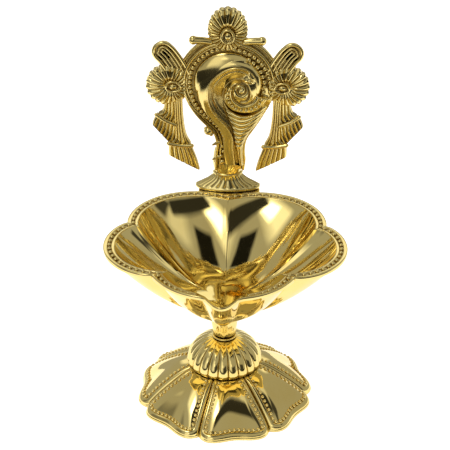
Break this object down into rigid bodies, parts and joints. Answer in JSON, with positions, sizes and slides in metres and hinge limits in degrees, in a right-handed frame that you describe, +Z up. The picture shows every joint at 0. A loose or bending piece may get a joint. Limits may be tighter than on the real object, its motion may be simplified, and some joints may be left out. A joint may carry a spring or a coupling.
{
  "type": "diya oil lamp",
  "caption": "Small brass oil lamp: lotus-petal foot, ribbed dome, lobed bowl with a pouring spout and beaded rim, and a conch emblem standing on the back of the rim.",
  "frame": {"origin": "on the floor, at the middle of the outer box seen from above; the lamp's own axis is 9.55 mm nearer the spout", "axes": "+Z up; the spout points to -Y; the emblem is at +Y and faces -Y"},
  "size_m": [0.0918, 0.0882, 0.1404],
  "materials": {
    "foot_brass": "polished and lacquered casting",
    "bowl_brass": "mirror polished and lacquered",
    "relief_brass": "polished relief, darker in its recesses",
    "fastener_steel": "plain zinc plate"
  },
  "bodies": {
    "foot": {"lotus_foot": "foot_brass", "ribbed_dome": "foot_brass", "foot_stud": "fastener_steel", "foot_washer": "fastener_steel", "foot_nut": "fastener_steel"},
    "neck_ring": {"neck_ring": "bowl_brass"},
    "bowl": {"oil_bowl": "bowl_brass", "conch_emblem": "relief_brass", "emblem_screw_left": "fastener_steel", "emblem_screw_right": "fastener_steel"}
  },
  "joints": [
    {"name": "thread_lift", "type": "slide", "parent": "foot", "child": "neck_ring", "axis": [0, 0, 1], "range_m": [0, 0.006]},
    {"name": "bowl_unscrew", "type": "hinge", "parent": "neck_ring", "child": "bowl", "pos_m": [0, -0.00955, 0.0281], "axis": [0, 0, 1], "range_deg": [0, 2700]}
  ],
  "couplings": [
    {"joint": "thread_lift", "follows": "bowl_unscrew", "m_per_rad": 0.00012732}
  ]
}
